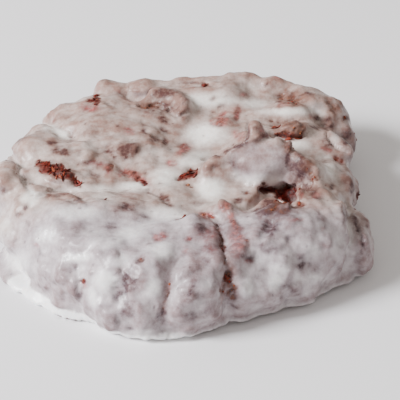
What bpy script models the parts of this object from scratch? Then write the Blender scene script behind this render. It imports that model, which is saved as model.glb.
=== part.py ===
"""A glazed strawberry fritter: one hand-sized piece of fried dough, built as one closed solid.

A fritter is chopped dough and fruit pressed together and fried, so it is modelled the same way. A low
dished body carries lumps of dough, curled flaps, cobbles and chunks of fruit. All of them are fused by a
voxel remesh, then the creases between the lumps are cut in, the crust is roughened, and the underside is
pressed flat where it rests. A thin foot of set glaze spreads from the left and the front of the base.

+Z is up, the origin is the middle of the base, and +X runs along the fritter's longest side.
"""

import math
import random
from collections import namedtuple

import bmesh
import bpy
import numpy as np
from mathutils import Matrix, Vector, noise

MM = 0.001

# Driving dimensions of the body, in metres.
RIM_REACH_MM = (50.5, 58, 59.5, 52, 51, 50, 54, 50, 49.5, 48, 45.5, 52)  # every 30 degrees, from +X towards +Y
RIM_REACH = [reach * MM for reach in RIM_REACH_MM]
CROWN = 22.5 * MM  # height of the shoulder that runs round the top
DISH = 2.0 * MM  # how far the middle of the top sinks below the shoulder
LIFT = 2.0 * MM  # how far the underside curls up at the rim
REST_INSET = 8 * MM  # from the rim to the flat that the fritter rests on
REST_EASE = 0.15 * MM  # points lower than this after thinning belong to the flat
RIM_STEPS = 96

# The fried surface.
VOXEL = 0.85 * MM
SOFTENING_PASSES = 3
MOST_TRIANGLES = 11400
SEED = 27

# Each lump: where its middle lies, its half sizes before it is turned, and its turn about +Z.
Lump = namedtuple("Lump", "name x y z width depth height turn")
LUMPS = (
    Lump("left_knob", -40, 22, 12, 13, 13, 11.5, 10),
    Lump("far_left_knob", -53, 11.5, 10.6, 6.5, 9, 9.8, 0),
    Lump("back_left_mass", -22, 38, 13, 24, 15, 11.5, -12),
    Lump("back_left_shoulder", -37, 37.5, 12.5, 9, 8, 8.2, 30),
    Lump("back_left_tip", -21.5, 54, 17, 6.8, 5.5, 7.4, -8),
    Lump("back_left_join", -13, 53.5, 15.2, 8.5, 6.5, 9.4, 0),
    Lump("middle_left_mass", -20, 22, 13, 21, 8, 10, 18),
    Lump("back_rim", 12, 49, 13, 27, 9, 12.5, 0),
    Lump("back_right_rim", 39, 47.8, 12.3, 15, 12, 12, -35),
    Lump("back_right_knob", 48, 41, 8.2, 6.5, 7, 8.2, -20),
    Lump("right_shoulder", 43.2, 26, 10, 9, 8, 12.5, 70),
    Lump("right_knob", 45.6, 12, 9, 6, 8, 11, 0),
    Lump("right_flap", 50, -10.5, 8, 6, 13, 8.5, 12),
    Lump("right_heel", 45.4, -17.2, 5, 6.5, 6.3, 6.2, 20),
    Lump("fruit_knot", 13, 33, 18, 7, 5, 6, -25),
    Lump("brown_chunk", 33, 25.5, 20, 7.5, 3.8, 5, -4),
    Lump("back_chunk", 33, 39, 18.5, 9, 5, 6.5, -15),
    Lump("crag", 24, 7.5, 19, 15, 7.5, 9.5, -6),
    Lump("crag_foot", 12, 6, 18, 12, 6, 7, 20),
    Lump("crag_shoulder", 37, 2.5, 17, 7, 6, 10, -40),
    Lump("front_left_mass", -22, -12, 10, 26, 19, 13, 10),
    Lump("front_left_hip", -33, -22, 9, 14, 10, 10, -35),
    Lump("front_left_brow", -30, -20, 12, 14, 11, 9.5, -20),
    Lump("front_cheek", -13, -34, 10, 14, 11, 11, -12),
    Lump("front_mass", 2, -26, 11, 10, 16, 12.5, -8),
    Lump("front_toe", -10, -40, 6, 16, 9.5, 8, -2),
    Lump("front_right_mass", 31, -20, 11, 19, 15, 13.5, 32),
    Lump("front_right_brow", 38, -12, 14, 11, 10, 9.5, -10),
    Lump("front_right_toe", 26, -30.5, 7, 12, 7, 7.5, 28),
)

# A flap or ridge is a string of beads along a smooth curve: points (x, y, z), then the end radii, in mm.
Ridge = namedtuple("Ridge", "name points start_radius end_radius")
RIDGES = (
    Ridge("curl", ((-21, 47, 21), (-14, 43, 22), (-6, 46, 23), (0, 42, 22.5), (0, 36, 21)), 2.2, 3.2),
    Ridge("left_ridge", ((-44, 32, 18), (-32, 30, 21), (-20, 31, 22), (-8, 28, 21)), 2.6, 2.4),
    Ridge("low_left_ridge", ((-30, 18, 20.5), (-18, 21, 21.5), (-9, 25, 21)), 2.4, 2.0),
    Ridge("back_ridge", ((-8, 54, 21), (8, 55, 22.5), (24, 55, 22.5), (38, 51, 20)), 3.0, 3.5),
    Ridge("crag_crest", ((8, 3.5, 24.5), (15, 7, 27), (23, 8.5, 28), (31, 6.5, 27.5), (40, -1, 23.5)), 1.7, 1.9),
    Ridge("crag_nub", ((21.6, 9.8, 27), (21.8, 10.8, 30.5), (22.1, 11.4, 33.6)), 2.7, 2.2),
    Ridge("front_left_lip", ((-46, -10, 15), (-42, -8, 18.5), (-35, -6.5, 20.5), (-28, -9, 20.5)), 2.0, 2.4),
    Ridge("fruit_string", ((12.5, -14, 21.5), (16, -19, 20.5), (18.5, -24, 18), (20.5, -28, 15.5)), 2.2, 2.6),
    Ridge("right_seam", ((46, -2, 15), (46.5, -8, 14), (47, -15, 11)), 2.0, 2.0),
    Ridge("back_lip", ((-13, 36, 20.5), (-8, 33, 20), (-5, 30, 20)), 1.8, 1.6),
)

# A crease is cut along a smooth curve, given in plan as (x, y). It runs on down the side wherever its curve
# passes the rim. depth is how deep and width how wide it is, in mm.
Crease = namedtuple("Crease", "name points depth width")
CREASES = (
    Crease("front_crease", ((6, -14), (10, -18), (11.5, -26), (12.3, -32), (12.6, -38), (14, -42), (15.5, -50)), 2.6, 1.4),
    Crease("side_crease", ((2, -29), (1.5, -35), (0, -39.5), (-2, -42.5), (-3.5, -47), (-6, -53)), 1.9, 1.5),
    Crease("cheek_crease", ((-18, -34), (-16, -39), (-18, -52)), 1.7, 1.6),
    Crease("hip_crease", ((-25, -33), (-27, -37), (-28, -48)), 1.3, 1.6),
    Crease("left_crease", ((-62, 8), (-50, 6), (-43.5, 2), (-38, -0.8), (-31, -2.9), (-25, -3.9)), 3.0, 2.0),
    Crease("knob_crease", ((-56, 18), (-48, 12), (-43, 3)), 1.8, 1.4),
    Crease("valley", ((-52, 44), (-42, 36), (-37, 29), (-31, 22.5)), 2.8, 2.0),
    Crease("lobe_crease", ((46, 2), (48.5, -2), (49, -9), (49, -15), (51, -26)), 2.4, 1.4),
    Crease("under_crag", ((17, -11), (21, -8), (25, -3.5), (31, -2), (36, -3)), 4.6, 1.8),
    Crease("crag_pocket", ((29.5, -3.5), (31, -8), (31.5, -11.5)), 4.0, 2.4),
    Crease("behind_curl", ((-14.5, 41), (-7, 42), (-2, 38)), 1.8, 1.5),
    Crease("back_crease", ((-2, 53), (4.5, 52), (10.5, 49)), 1.6, 1.2),
    Crease("right_crease", ((42, 40), (45.5, 34), (50, 31), (60, 29)), 2.2, 1.6),
    Crease("right_low_crease", ((43, 16), (49, 15), (60, 17)), 2.0, 1.5),
    Crease("chunk_crease", ((28, 22), (34, 20.5), (39, 24)), 1.6, 1.4),
    Crease("back_notch", ((-17, 51), (-17, 56), (-17, 64)), 0.7, 1.3),
    Crease("far_back_crease", ((22, 48), (25, 56), (25, 66)), 1.0, 1.8),
)

# A pool is a hollow in the top where the glaze gathers: its middle (x, y), radius and depth, in mm.
Pool = namedtuple("Pool", "name x y radius depth")
POOLS = (
    Pool("middle_pool", 6, 25, 11, 3.0),
    Pool("left_pool", -17, 1, 8, 2.2),
    Pool("near_pool", 7, -3, 8, 2.4),
    Pool("back_pool", -13, 47, 5, 1.0),
    Pool("right_pool", 34, 33, 7, 2.0),
    Pool("far_right_pool", 40, 15, 6, 2.2),
)

# Cobbles: the small lumps that cover the top and the sides, except for the smooth part of the front.
SIDE_COBBLES = 44
SMOOTH_FROM, SMOOTH_TO = math.radians(212), math.radians(335)
TOP_COBBLES = 40
COBBLE_RADIUS = (2.2 * MM, 4.4 * MM)

# Crust roughness: (size of the bumps, their height), from coarse to fine.
CRUST_BUMPS = ((11 * MM, 1.5 * MM), (5.2 * MM, 0.8 * MM))

# The foot: a ledge of set glaze at floor level. Its edge is given as heading in degrees from +X and reach in mm.
FOOT_EDGE = (
    (178, 50), (186, 55), (196, 56.8), (201, 56.3), (207, 54.8), (215, 53.2), (224, 51.8), (231, 51),
    (234.5, 50.8), (237, 47), (242, 48.4), (250, 49.2), (260, 49.4), (264, 49), (266, 47), (268, 48.3),
    (270.5, 48.2), (274, 44), (277, 42.5),
)
FOOT_WIDTH = 7 * MM
FOOT_THICKNESS = 2.0 * MM
FOOT_STEP = 1.2  # degrees between one bead of the ledge and the next

CRUST_COLOUR = (0.55, 0.47, 0.46, 1.0)
CRUST_ROUGHNESS = 0.38


def clear_scene():
    for thing in list(bpy.data.objects):
        bpy.data.objects.remove(thing)


def smooth_through(points, steps_between):
    """Points on a Catmull-Rom curve through the given points."""
    ends = [points[0] * 2 - points[1], *points, points[-1] * 2 - points[-2]]
    curve = []
    for i in range(1, len(ends) - 2):
        before, here, there, after = ends[i - 1 : i + 3]
        for step in range(steps_between):
            t = step / steps_between
            curve.append(
                here
                + (there - before) * (t / 2)
                + (before * 2 - here * 5 + there * 4 - after) * (t * t / 2)
                + (here * 3 - before - there * 3 + after) * (t * t * t / 2)
            )
    curve.append(ends[-2].copy())
    return curve


def rim_reach(heading):
    """Distance from the middle to the rim at a heading in radians, smoothed between the named reaches."""
    count = len(RIM_REACH)
    place = heading / math.tau * count
    low = math.floor(place)
    share = place - low
    share = share * share * (3 - 2 * share)
    return RIM_REACH[low % count] * (1 - share) + RIM_REACH[(low + 1) % count] * share


def add_body(mesh):
    """The body: rings that follow the rim, from the rest face up round the shoulder into the dish."""
    profile = (
        (REST_INSET, -1.0 * MM),
        (REST_INSET * 0.45, 0.4 * LIFT),
        (REST_INSET * 0.12, 0.18 * CROWN),
        (0.0, 0.38 * CROWN),
        (0.5 * MM, 0.58 * CROWN),
        (2.8 * MM, 0.80 * CROWN),
        (7.0 * MM, 0.96 * CROWN),
        (12.0 * MM, CROWN),
        (20.0 * MM, CROWN - 0.5 * DISH),
        (32.0 * MM, CROWN - DISH),
    )
    rings = []
    for inset, height in profile:
        ring = []
        for step in range(RIM_STEPS):
            heading = math.tau * step / RIM_STEPS
            reach = rim_reach(heading) - inset
            ring.append(mesh.verts.new((reach * math.cos(heading), reach * math.sin(heading), height)))
        rings.append(ring)
    for lower, upper in zip(rings, rings[1:]):
        for step in range(RIM_STEPS):
            after = (step + 1) % RIM_STEPS
            mesh.faces.new((lower[step], lower[after], upper[after], upper[step]))
    mesh.faces.new(list(reversed(rings[0])))
    mesh.faces.new(rings[-1])


def add_ball(mesh, centre, half_sizes, turn=0.0):
    """One ellipsoid lump, turned about +Z."""
    place = (
        Matrix.Translation(centre)
        @ Matrix.Rotation(math.radians(turn), 4, "Z")
        @ Matrix.Diagonal((*half_sizes, 1.0))
    )
    bmesh.ops.create_icosphere(mesh, subdivisions=3, radius=1.0, matrix=place)


def add_lumps(mesh):
    for lump in LUMPS:
        centre = Vector((lump.x, lump.y, lump.z)) * MM
        add_ball(mesh, centre, (lump.width * MM, lump.depth * MM, lump.height * MM), lump.turn)


def add_ridges(mesh):
    for ridge in RIDGES:
        line = smooth_through([Vector(point) * MM for point in ridge.points], 8)
        for step, centre in enumerate(line):
            share = step / (len(line) - 1)
            radius = (ridge.start_radius * (1 - share) + ridge.end_radius * share) * MM
            add_ball(mesh, centre, (radius, radius, radius))


def add_cobbles(mesh, draw):
    """Small lumps, half sunk: a band of them round the sides, and a scatter over the shoulder and the top."""
    for step in range(SIDE_COBBLES):
        heading = math.tau * (step + draw.uniform(-0.4, 0.4)) / SIDE_COBBLES
        height = CROWN * draw.uniform(0.25, 0.85)
        radius = draw.uniform(*COBBLE_RADIUS)
        reach = rim_reach(heading) + draw.uniform(-0.95, -0.4) * radius
        centre = Vector((reach * math.cos(heading), reach * math.sin(heading), height))
        if SMOOTH_FROM < heading % math.tau < SMOOTH_TO:
            continue
        add_ball(mesh, centre, (radius, radius * 1.5, radius * 1.2), math.degrees(heading))
    for step in range(TOP_COBBLES):
        heading = draw.uniform(0, math.tau)
        share = math.sqrt(draw.uniform(0.05, 0.62))
        radius = draw.uniform(*COBBLE_RADIUS) * 0.8
        reach = rim_reach(heading) * share
        centre = Vector((reach * math.cos(heading), reach * math.sin(heading), CROWN - 0.3 * radius))
        if any((centre.xy - Vector((pool.x, pool.y)) * MM).length < 1.2 * pool.radius * MM for pool in POOLS):
            continue
        add_ball(mesh, centre, (radius * 1.7, radius, radius * 0.6), draw.uniform(0, 180))


def add_foot(mesh):
    """The ledge of set glaze on the floor: flat beads side by side along its edge."""
    headings, reaches = zip(*FOOT_EDGE)
    for degrees in np.arange(headings[0], headings[-1], FOOT_STEP):
        heading = math.radians(degrees)
        reach = np.interp(degrees, headings, reaches) * MM - FOOT_WIDTH
        centre = Vector((reach * math.cos(heading), reach * math.sin(heading), 0.35 * FOOT_THICKNESS))
        add_ball(mesh, centre, (FOOT_WIDTH, 1.6 * MM, 0.75 * FOOT_THICKNESS), degrees)


def apply_modifiers(solid):
    """The object's mesh becomes what its modifiers make of it."""
    graph = bpy.context.evaluated_depsgraph_get()
    made = bpy.data.meshes.new_from_object(solid.evaluated_get(graph))
    solid.modifiers.clear()
    solid.data = made


def fuse(solid):
    """One voxel remesh joins every piece and opens any pinch, and a few passes soften the joins."""
    remesh = solid.modifiers.new("Fuse", "REMESH")
    remesh.mode = "VOXEL"
    remesh.voxel_size = VOXEL
    soften = solid.modifiers.new("Soften", "SMOOTH")
    soften.factor = 0.5
    soften.iterations = SOFTENING_PASSES
    apply_modifiers(solid)


def surface_of(solid):
    """The mesh's points and their normals, as two arrays."""
    data = solid.data
    points = np.empty(len(data.vertices) * 3)
    normals = np.empty(len(data.vertices) * 3)
    data.vertices.foreach_get("co", points)
    data.vertices.foreach_get("normal", normals)
    return points.reshape(-1, 3), normals.reshape(-1, 3)


def broad_normals(solid, passes=6):
    """Each point's normal, averaged over the surface round it, so that neighbours move side by side."""
    _, normals = surface_of(solid)
    ends = np.empty(len(solid.data.edges) * 2, np.int64)
    solid.data.edges.foreach_get("vertices", ends)
    one, other = ends.reshape(-1, 2).T
    for _ in range(passes):
        total = normals.copy()
        np.add.at(total, one, normals[other])
        np.add.at(total, other, normals[one])
        normals = total / np.linalg.norm(total, axis=1)[:, None]
    return normals


def move_to(solid, points):
    solid.data.vertices.foreach_set("co", points.ravel())
    solid.data.update()


def sink_pools(solid):
    """Presses the pools into the top. Only what lies near the top's height moves."""
    points, _ = surface_of(solid)
    on_top = np.clip((points[:, 2] - 0.55 * CROWN) / (0.25 * CROWN), 0, 1)
    for pool in POOLS:
        middle = np.array((pool.x, pool.y)) * MM
        away = np.linalg.norm(points[:, :2] - middle, axis=1) / (pool.radius * MM)
        points[:, 2] -= on_top * pool.depth * MM * np.exp(-1.6 * away * away)
    move_to(solid, points)


def cut_creases(solid):
    """Moves the surface in along its normals, near each crease's curve as seen from above."""
    points, _ = surface_of(solid)
    normals = broad_normals(solid)
    moved = points.copy()
    above_floor = np.clip(points[:, 2] / (0.15 * CROWN), 0, 1)
    for crease in CREASES:
        line = smooth_through([Vector(point) * MM for point in crease.points], 10)
        away = np.min([np.hypot(points[:, 0] - spot.x, points[:, 1] - spot.y) for spot in line], axis=0)
        depth = crease.depth * MM * np.exp(-((away / (crease.width * MM)) ** 2))
        moved -= normals * (depth * above_floor)[:, None]
    move_to(solid, moved)


def roughen(solid):
    """Fried crust: bumps along the normals, less of them on the underside."""
    points, _ = surface_of(solid)
    normals = broad_normals(solid)
    rise = np.zeros(len(points))
    for size, height in CRUST_BUMPS:
        rise += height * np.array([noise.noise(spot) for spot in (points / size).tolist()])
    upward = np.clip(points[:, 2] / (0.2 * CROWN), 0, 1)
    rise *= 0.25 + 0.75 * upward
    move_to(solid, points + normals * rise[:, None])


def press_flat(solid):
    """Flattens what lies below the floor, and centres the fritter over the origin."""
    points, _ = surface_of(solid)
    points[:, 2] = np.maximum(points[:, 2], 0.0)
    middle = (points.min(axis=0) + points.max(axis=0)) / 2
    points[:, :2] -= middle[:2]
    move_to(solid, points)


def thin_out(solid):
    """Collapses faces where the crust is smooth, down to the most triangles that the solid may have."""
    triangles = sum(len(face.vertices) - 2 for face in solid.data.polygons)
    collapse = solid.modifiers.new("Thin_out", "DECIMATE")
    collapse.ratio = min(1.0, MOST_TRIANGLES / triangles)
    collapse.use_collapse_triangulate = True
    apply_modifiers(solid)


def level_base(solid):
    """Thinning moves the points of the rest face by hundredths of a millimetre: they go back onto one plane."""
    points, _ = surface_of(solid)
    points[points[:, 2] < REST_EASE, 2] = 0.0
    move_to(solid, points)


def crust_material():
    material = bpy.data.materials.new("glazed_crust")
    material.use_nodes = True
    shader = material.node_tree.nodes["Principled BSDF"]
    shader.inputs["Base Color"].default_value = CRUST_COLOUR
    shader.inputs["Roughness"].default_value = CRUST_ROUGHNESS
    shader.inputs["Metallic"].default_value = 0.0
    material.diffuse_color = CRUST_COLOUR
    return material


def make_fritter():
    draw = random.Random(SEED)
    shape = bmesh.new()
    add_body(shape)
    add_lumps(shape)
    add_ridges(shape)
    add_cobbles(shape, draw)
    add_foot(shape)
    data = bpy.data.meshes.new("fritter")
    shape.to_mesh(data)
    shape.free()
    fritter = bpy.data.objects.new("fritter", data)
    bpy.context.scene.collection.objects.link(fritter)
    fuse(fritter)
    sink_pools(fritter)
    cut_creases(fritter)
    roughen(fritter)
    fuse(fritter)
    press_flat(fritter)
    thin_out(fritter)
    level_base(fritter)
    fritter.data.materials.clear()
    fritter.data.materials.append(crust_material())
    fritter.data.shade_smooth()
    return fritter


clear_scene()
make_fritter()
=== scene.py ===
import math
import random

import bmesh
import bpy
import numpy as np
from mathutils import Matrix, Vector, noise
from mathutils.bvhtree import BVHTree


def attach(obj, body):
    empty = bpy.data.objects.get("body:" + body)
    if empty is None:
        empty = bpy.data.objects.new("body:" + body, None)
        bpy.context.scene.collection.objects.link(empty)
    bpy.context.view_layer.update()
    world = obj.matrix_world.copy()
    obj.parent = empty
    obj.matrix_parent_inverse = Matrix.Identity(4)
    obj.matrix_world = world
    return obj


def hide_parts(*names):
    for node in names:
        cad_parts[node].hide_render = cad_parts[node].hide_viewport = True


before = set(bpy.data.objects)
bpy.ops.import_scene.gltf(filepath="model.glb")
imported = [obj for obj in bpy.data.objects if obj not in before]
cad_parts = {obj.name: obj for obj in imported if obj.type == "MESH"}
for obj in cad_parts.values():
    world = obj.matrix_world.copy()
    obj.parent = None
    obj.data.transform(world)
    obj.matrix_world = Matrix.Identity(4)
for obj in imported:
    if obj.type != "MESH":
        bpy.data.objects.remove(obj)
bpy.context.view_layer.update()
MM = 0.001

# ------------------------------------------------------------------------------
# The camera. It looks down on the front of the fritter, from a little over half a metre away, with a long
# lens. The fritter fills the view from its left edge.
VIEW_TARGET = Vector((7.4, 17.0, 0.0)) * MM
VIEW_DISTANCE = 550 * MM
VIEW_ELEVATION = math.radians(34)
VIEW_SIDE = 400  # pixels
PIXEL = 0.311 * MM  # what one pixel spans at the target
SENSOR_WIDTH = 36.0
NEAREST, FARTHEST = 0.02, 20.0

camera_data = bpy.data.cameras.new("camera")
camera_data.sensor_width = SENSOR_WIDTH
camera_data.lens = SENSOR_WIDTH * VIEW_DISTANCE / (PIXEL * VIEW_SIDE)
camera_data.clip_start, camera_data.clip_end = NEAREST, FARTHEST
camera = bpy.data.objects.new("camera", camera_data)
bpy.context.scene.collection.objects.link(camera)
camera.rotation_euler = (math.pi / 2 - VIEW_ELEVATION, 0, 0)
CAMERA_AHEAD = Vector((0, math.cos(VIEW_ELEVATION), -math.sin(VIEW_ELEVATION)))
CAMERA_UP = Vector((0, math.sin(VIEW_ELEVATION), math.cos(VIEW_ELEVATION)))
CAMERA_RIGHT = Vector((1, 0, 0))
camera.location = VIEW_TARGET - CAMERA_AHEAD * VIEW_DISTANCE
bpy.context.scene.camera = camera

# ------------------------------------------------------------------------------
# The table: a plain pale floor in soft light. A window stands to the left and a little in front of the
# fritter, and the room fills the shadows.
FLOOR_HALF_WIDTH = 3.0
FLOOR_GAP = 0.05 * MM  # the floor lies this far under the fritter, so that their faces don't meet
FLOOR_COLOUR, FLOOR_ROUGHNESS = (0.84, 0.83, 0.84, 1), 0.55
ROOM_COLOUR, ROOM_LIGHT = (1.0, 0.95, 0.90, 1), 0.62
WINDOW_PLACE, WINDOW_SIZE = Vector((-1.02, -0.30, 0.76)), 0.42
WINDOW_POWER, WINDOW_COLOUR = 46.0, (0.96, 0.97, 1.0)

floor_mesh = bmesh.new()
bmesh.ops.create_grid(floor_mesh, x_segments=2, y_segments=2, size=FLOOR_HALF_WIDTH)
floor_data = bpy.data.meshes.new("floor")
floor_mesh.to_mesh(floor_data)
floor_mesh.free()
floor = bpy.data.objects.new("floor", floor_data)
floor.location.z = -FLOOR_GAP
bpy.context.scene.collection.objects.link(floor)
floor_material = bpy.data.materials.new("pale_floor")
floor_material.use_nodes = True
floor_shader = floor_material.node_tree.nodes["Principled BSDF"]
floor_shader.inputs["Base Color"].default_value = FLOOR_COLOUR
floor_shader.inputs["Roughness"].default_value = FLOOR_ROUGHNESS
floor_data.materials.append(floor_material)

window_data = bpy.data.lights.new("window", "AREA")
window_data.shape, window_data.size = "SQUARE", WINDOW_SIZE
window_data.energy, window_data.color = WINDOW_POWER, WINDOW_COLOUR
window = bpy.data.objects.new("window", window_data)
window.location = WINDOW_PLACE
window.rotation_mode = "QUATERNION"
window.rotation_quaternion = WINDOW_PLACE.to_track_quat("Z", "Y")
bpy.context.scene.collection.objects.link(window)
room = bpy.data.worlds.new("room")
room.use_nodes = True
room.node_tree.nodes["Background"].inputs["Color"].default_value = ROOM_COLOUR
room.node_tree.nodes["Background"].inputs["Strength"].default_value = ROOM_LIGHT
bpy.context.scene.world = room

# ------------------------------------------------------------------------------
# The dough: chopped yeast dough with strawberry worked in, fried until its lumps have set against each
# other. Its crust is mauve-brown where the berries stained it. The glaze hides most of it.
DOUGH_FACE = 0.61 * MM
DOUGH_BUMPS = ((6.5 * MM, 0.85 * MM), (3.3 * MM, 0.42 * MM), (1.8 * MM, 0.18 * MM))  # size, height
CRUST_CRUMBS = ((1.9 * MM, 0.65, 7), (1.1 * MM, 0.45, 8))  # size, share, seed
CRUST_CRUMB_HEIGHT = 0.42 * MM
BASE_FADE = 3 * MM  # the relief fades out over this height above the floor
FILL_PASSES, DEEPEST_FILL = 110, 4 * MM

# Places and sizes of marks are in pixels of the camera's view, across from its left and down from its top.
# Where the surface is calmer than elsewhere: (across, down, half width, half height, turn in degrees, share).
DOUGH_CALM = (
    (262, 163, 34, 20, 10, 0.75), (105, 122, 50, 14, 0, 0.7), (205, 115, 32, 32, 0, 0.8),
    (130, 190, 60, 10, 0, 0.6), (213, 188, 20, 16, 0, 0.9), (290, 112, 42, 6, 0, 0.8),
    (40, 150, 24, 12, 0, 0.5), (120, 225, 62, 18, 0, 0.6), (310, 146, 22, 8, 0, 0.7),
    (115, 92, 24, 8, 0, 0.7), (60, 235, 40, 16, 0, 0.5), (250, 95, 40, 10, 0, 0.5), (165, 99, 26, 15, 0, 0.9),
    (132, 88, 22, 8, 0, 0.9), (300, 165, 14, 12, 30, 0.6),
)

# Broad swellings and dips: (across, down, half width, half height, turn in degrees, height in mm).
DOUGH_SWELLS = (
    (289, 128, 17, 8, 5, 0.9), (60, 150, 22, 10, 0, 0.6), (60, 203, 24, 7, 0, 0.6), (6, 176, 11, 8, 0, 1.7),
    (277, 226, 8, 10, -30, -0.8), (30, 222, 14, 5, -20, -0.5), (233, 247, 12, 16, 0, 0.5),
    (205, 232, 10, 10, 0, 0.5), (22, 147, 13, 12, 0, 1.4), (262, 165, 30, 16, 10, 0.4),
    (145, 204, 18, 6, 0, 0.4), (128, 152, 10, 8, 0, 0.4), (253, 128, 8, 10, 0, 0.9), (132, 84, 16, 4, 0, 0.7),
    (138, 89, 13, 5, 0, 1.6),
)

# Creases and ridges: (line of points, half width, depth or height in mm).
DOUGH_CREASES = (
    (((211, 219), (216, 226), (219, 233), (221, 240), (223, 248), (224, 256), (223, 265), (226, 272)),
     1.6, 0.4),
    (((226, 272), (229, 280), (231, 290), (233, 298)), 2.4, 0.25),
    (((181, 260), (175, 265), (171, 271), (169, 279), (168, 288), (167, 297), (164, 306), (161, 322)),
     1.8, 0.2),
    (((128, 302), (123, 293), (124, 286), (127, 279), (122, 273)), 2.6, 0.6),
    (((76, 262), (77, 270), (79, 288), (81, 298)), 2.4, 0.7),
    (((84, 200), (76, 195), (64, 191), (52, 192), (43, 195), (36, 201), (31, 207)), 1.8, 0.8),
    (((12, 152), (16, 162), (19, 172), (24, 182), (33, 194)), 2.6, 1.3),
    (((203, 160), (214, 157), (225, 153), (232, 148), (240, 145), (246, 141), (248, 134), (249, 124)),
     1.5, 0.8),
    (((260, 190), (266, 190), (276, 189), (286, 188), (294, 187)), 2.6, 1.7),
    (((283, 190), (288, 194), (291, 200)), 6.5, 3.0),
    (((277, 136), (290, 139), (302, 137), (307, 131)), 2.2, 1.0),
    (((345, 203), (349, 212), (351, 222), (352, 235), (350, 245), (346, 253)), 1.8, 1.2),
    (((356, 222), (359, 231), (361, 236), (364, 246)), 1.8, 0.9),
    (((327, 133), (331, 142), (338, 149), (347, 152)), 1.7, 0.9),
    (((139, 105), (147, 107), (157, 105), (163, 108)), 2.0, 1.0),
    (((170, 112), (178, 117), (187, 112)), 2.2, 0.8), (((50, 114), (51, 124)), 1.4, 0.6),
    (((270, 222), (266, 232), (262, 238)), 4.0, 0.8), (((46, 181), (54, 184), (62, 184)), 1.6, 0.6),
    (((152, 136), (160, 139), (167, 143)), 1.8, 0.5), (((150, 192), (160, 197), (168, 203)), 1.6, 0.5),
)
DOUGH_RIDGES = (
    (((118, 91), (135, 94), (150, 92), (160, 89), (172, 91), (181, 96), (185, 103), (186, 110)), 2.6, 0.4),
    (((232, 150), (245, 144), (262, 135), (280, 143), (290, 149), (305, 161), (318, 173)), 2.4, 0.5),
    (((288, 145), (289, 152)), 2.0, 1.0),
    (((84, 206), (72, 199), (60, 197), (48, 199), (40, 204), (34, 212)), 2.8, 0.5),
    (((298, 187), (302, 193), (300, 199), (297, 206)), 1.5, 0.8),
    (((268, 194), (278, 196), (284, 201), (288, 208)), 1.7, 0.7),
    (((222, 205), (229, 209), (236, 226)), 2.4, 0.5), (((58, 172), (66, 174), (72, 178)), 2.0, 0.4),
)

# Grooves that closed up as the dough rose: (line of points, half width, share filled).
DOUGH_FILLS = (
    (((182, 244), (176, 258), (169, 274), (164, 290), (161, 306), (157, 324)), 9, 0.85),
    (((211, 218), (218, 232), (221, 244), (222, 256), (224, 268)), 5, 0.55),
    (((118, 89), (130, 90), (142, 90), (156, 90)), 10, 1.0), (((158, 105), (168, 107), (180, 112)), 8, 0.9),
    (((292, 180), (302, 184)), 7, 0.7), (((283, 203), (292, 208)), 4, 0.5),
    (((138, 105), (150, 106), (160, 106)), 5, 0.6), (((203, 213), (190, 206), (174, 200)), 6, 1.0),
    (((225, 266), (229, 280), (232, 294)), 7, 0.6), (((296, 158), (302, 166), (306, 174)), 6, 0.5),
)

# Places where the crust or the fruit broke into crumbs: (across, down, half width, half height, turn, share).
CRUMBLY = (
    (291, 98, 19, 8, 10, 1.0), (289, 129, 17, 8, 3, 0.9), (332, 107, 5, 10, -35, 0.8),
    (218, 119, 9, 8, 0, 0.7), (237, 114, 4, 7, 0, 0.7), (226, 207, 6, 6, 0, 0.9), (234, 222, 4, 9, -25, 0.8),
    (205, 216, 9, 4, 5, 0.8), (287, 207, 12, 8, 0, 0.6), (228, 280, 7, 20, 5, 0.8),
    (246, 242, 5, 9, -10, 0.6), (221, 240, 4, 18, -8, 0.5), (131, 176, 12, 6, 25, 0.7),
    (185, 149, 6, 5, 0, 0.6), (160, 237, 9, 6, 0, 0.5), (340, 160, 8, 4, 35, 0.5), (150, 105, 12, 4, 0, 0.6),
    (316, 175, 5, 6, 0, 0.8), (298, 195, 5, 10, 0, 0.4), (167, 290, 4, 18, 8, 0.5),
    (128, 285, 10, 10, 0, 0.4), (142, 260, 6, 4, 0, 0.5),
)


def fine_copy(node, name, face_size):
    """A copy of a CAD node's surface in small even faces, which relief can be worked into."""
    surface = bmesh.new()
    surface.from_mesh(node.data)
    bmesh.ops.remove_doubles(surface, verts=surface.verts, dist=0.001 * MM)
    data = bpy.data.meshes.new(name)
    surface.to_mesh(data)
    surface.free()
    piece = bpy.data.objects.new(name, data)
    bpy.context.scene.collection.objects.link(piece)
    rounding = piece.modifiers.new("Rounding", "SUBSURF")
    rounding.levels = rounding.render_levels = 1
    remesh = piece.modifiers.new("Even_faces", "REMESH")
    remesh.mode, remesh.voxel_size = "VOXEL", face_size
    soften = piece.modifiers.new("Soften", "SMOOTH")
    soften.factor, soften.iterations = 0.5, 3
    graph = bpy.context.evaluated_depsgraph_get()
    made = bpy.data.meshes.new_from_object(piece.evaluated_get(graph))
    piece.modifiers.clear()
    piece.data = made
    return piece


def vectors_of(piece, kind):
    """The places ("co") or the normals ("normal") of a piece's points, one row a point."""
    flat = np.empty(len(piece.data.vertices) * 3)
    piece.data.vertices.foreach_get(kind, flat)
    return flat.reshape(-1, 3)


def set_points(piece, points):
    piece.data.vertices.foreach_set("co", points.ravel())
    piece.data.update()


def links_of(piece):
    """The two ends of every edge, both ways round, and how many edges meet at each point."""
    ends = np.empty(len(piece.data.edges) * 2, np.int64)
    piece.data.edges.foreach_get("vertices", ends)
    one, other = ends.reshape(-1, 2).T
    here, there = np.concatenate((one, other)), np.concatenate((other, one))
    return here, there, np.maximum(np.bincount(here, minlength=len(piece.data.vertices)), 1)


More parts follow.
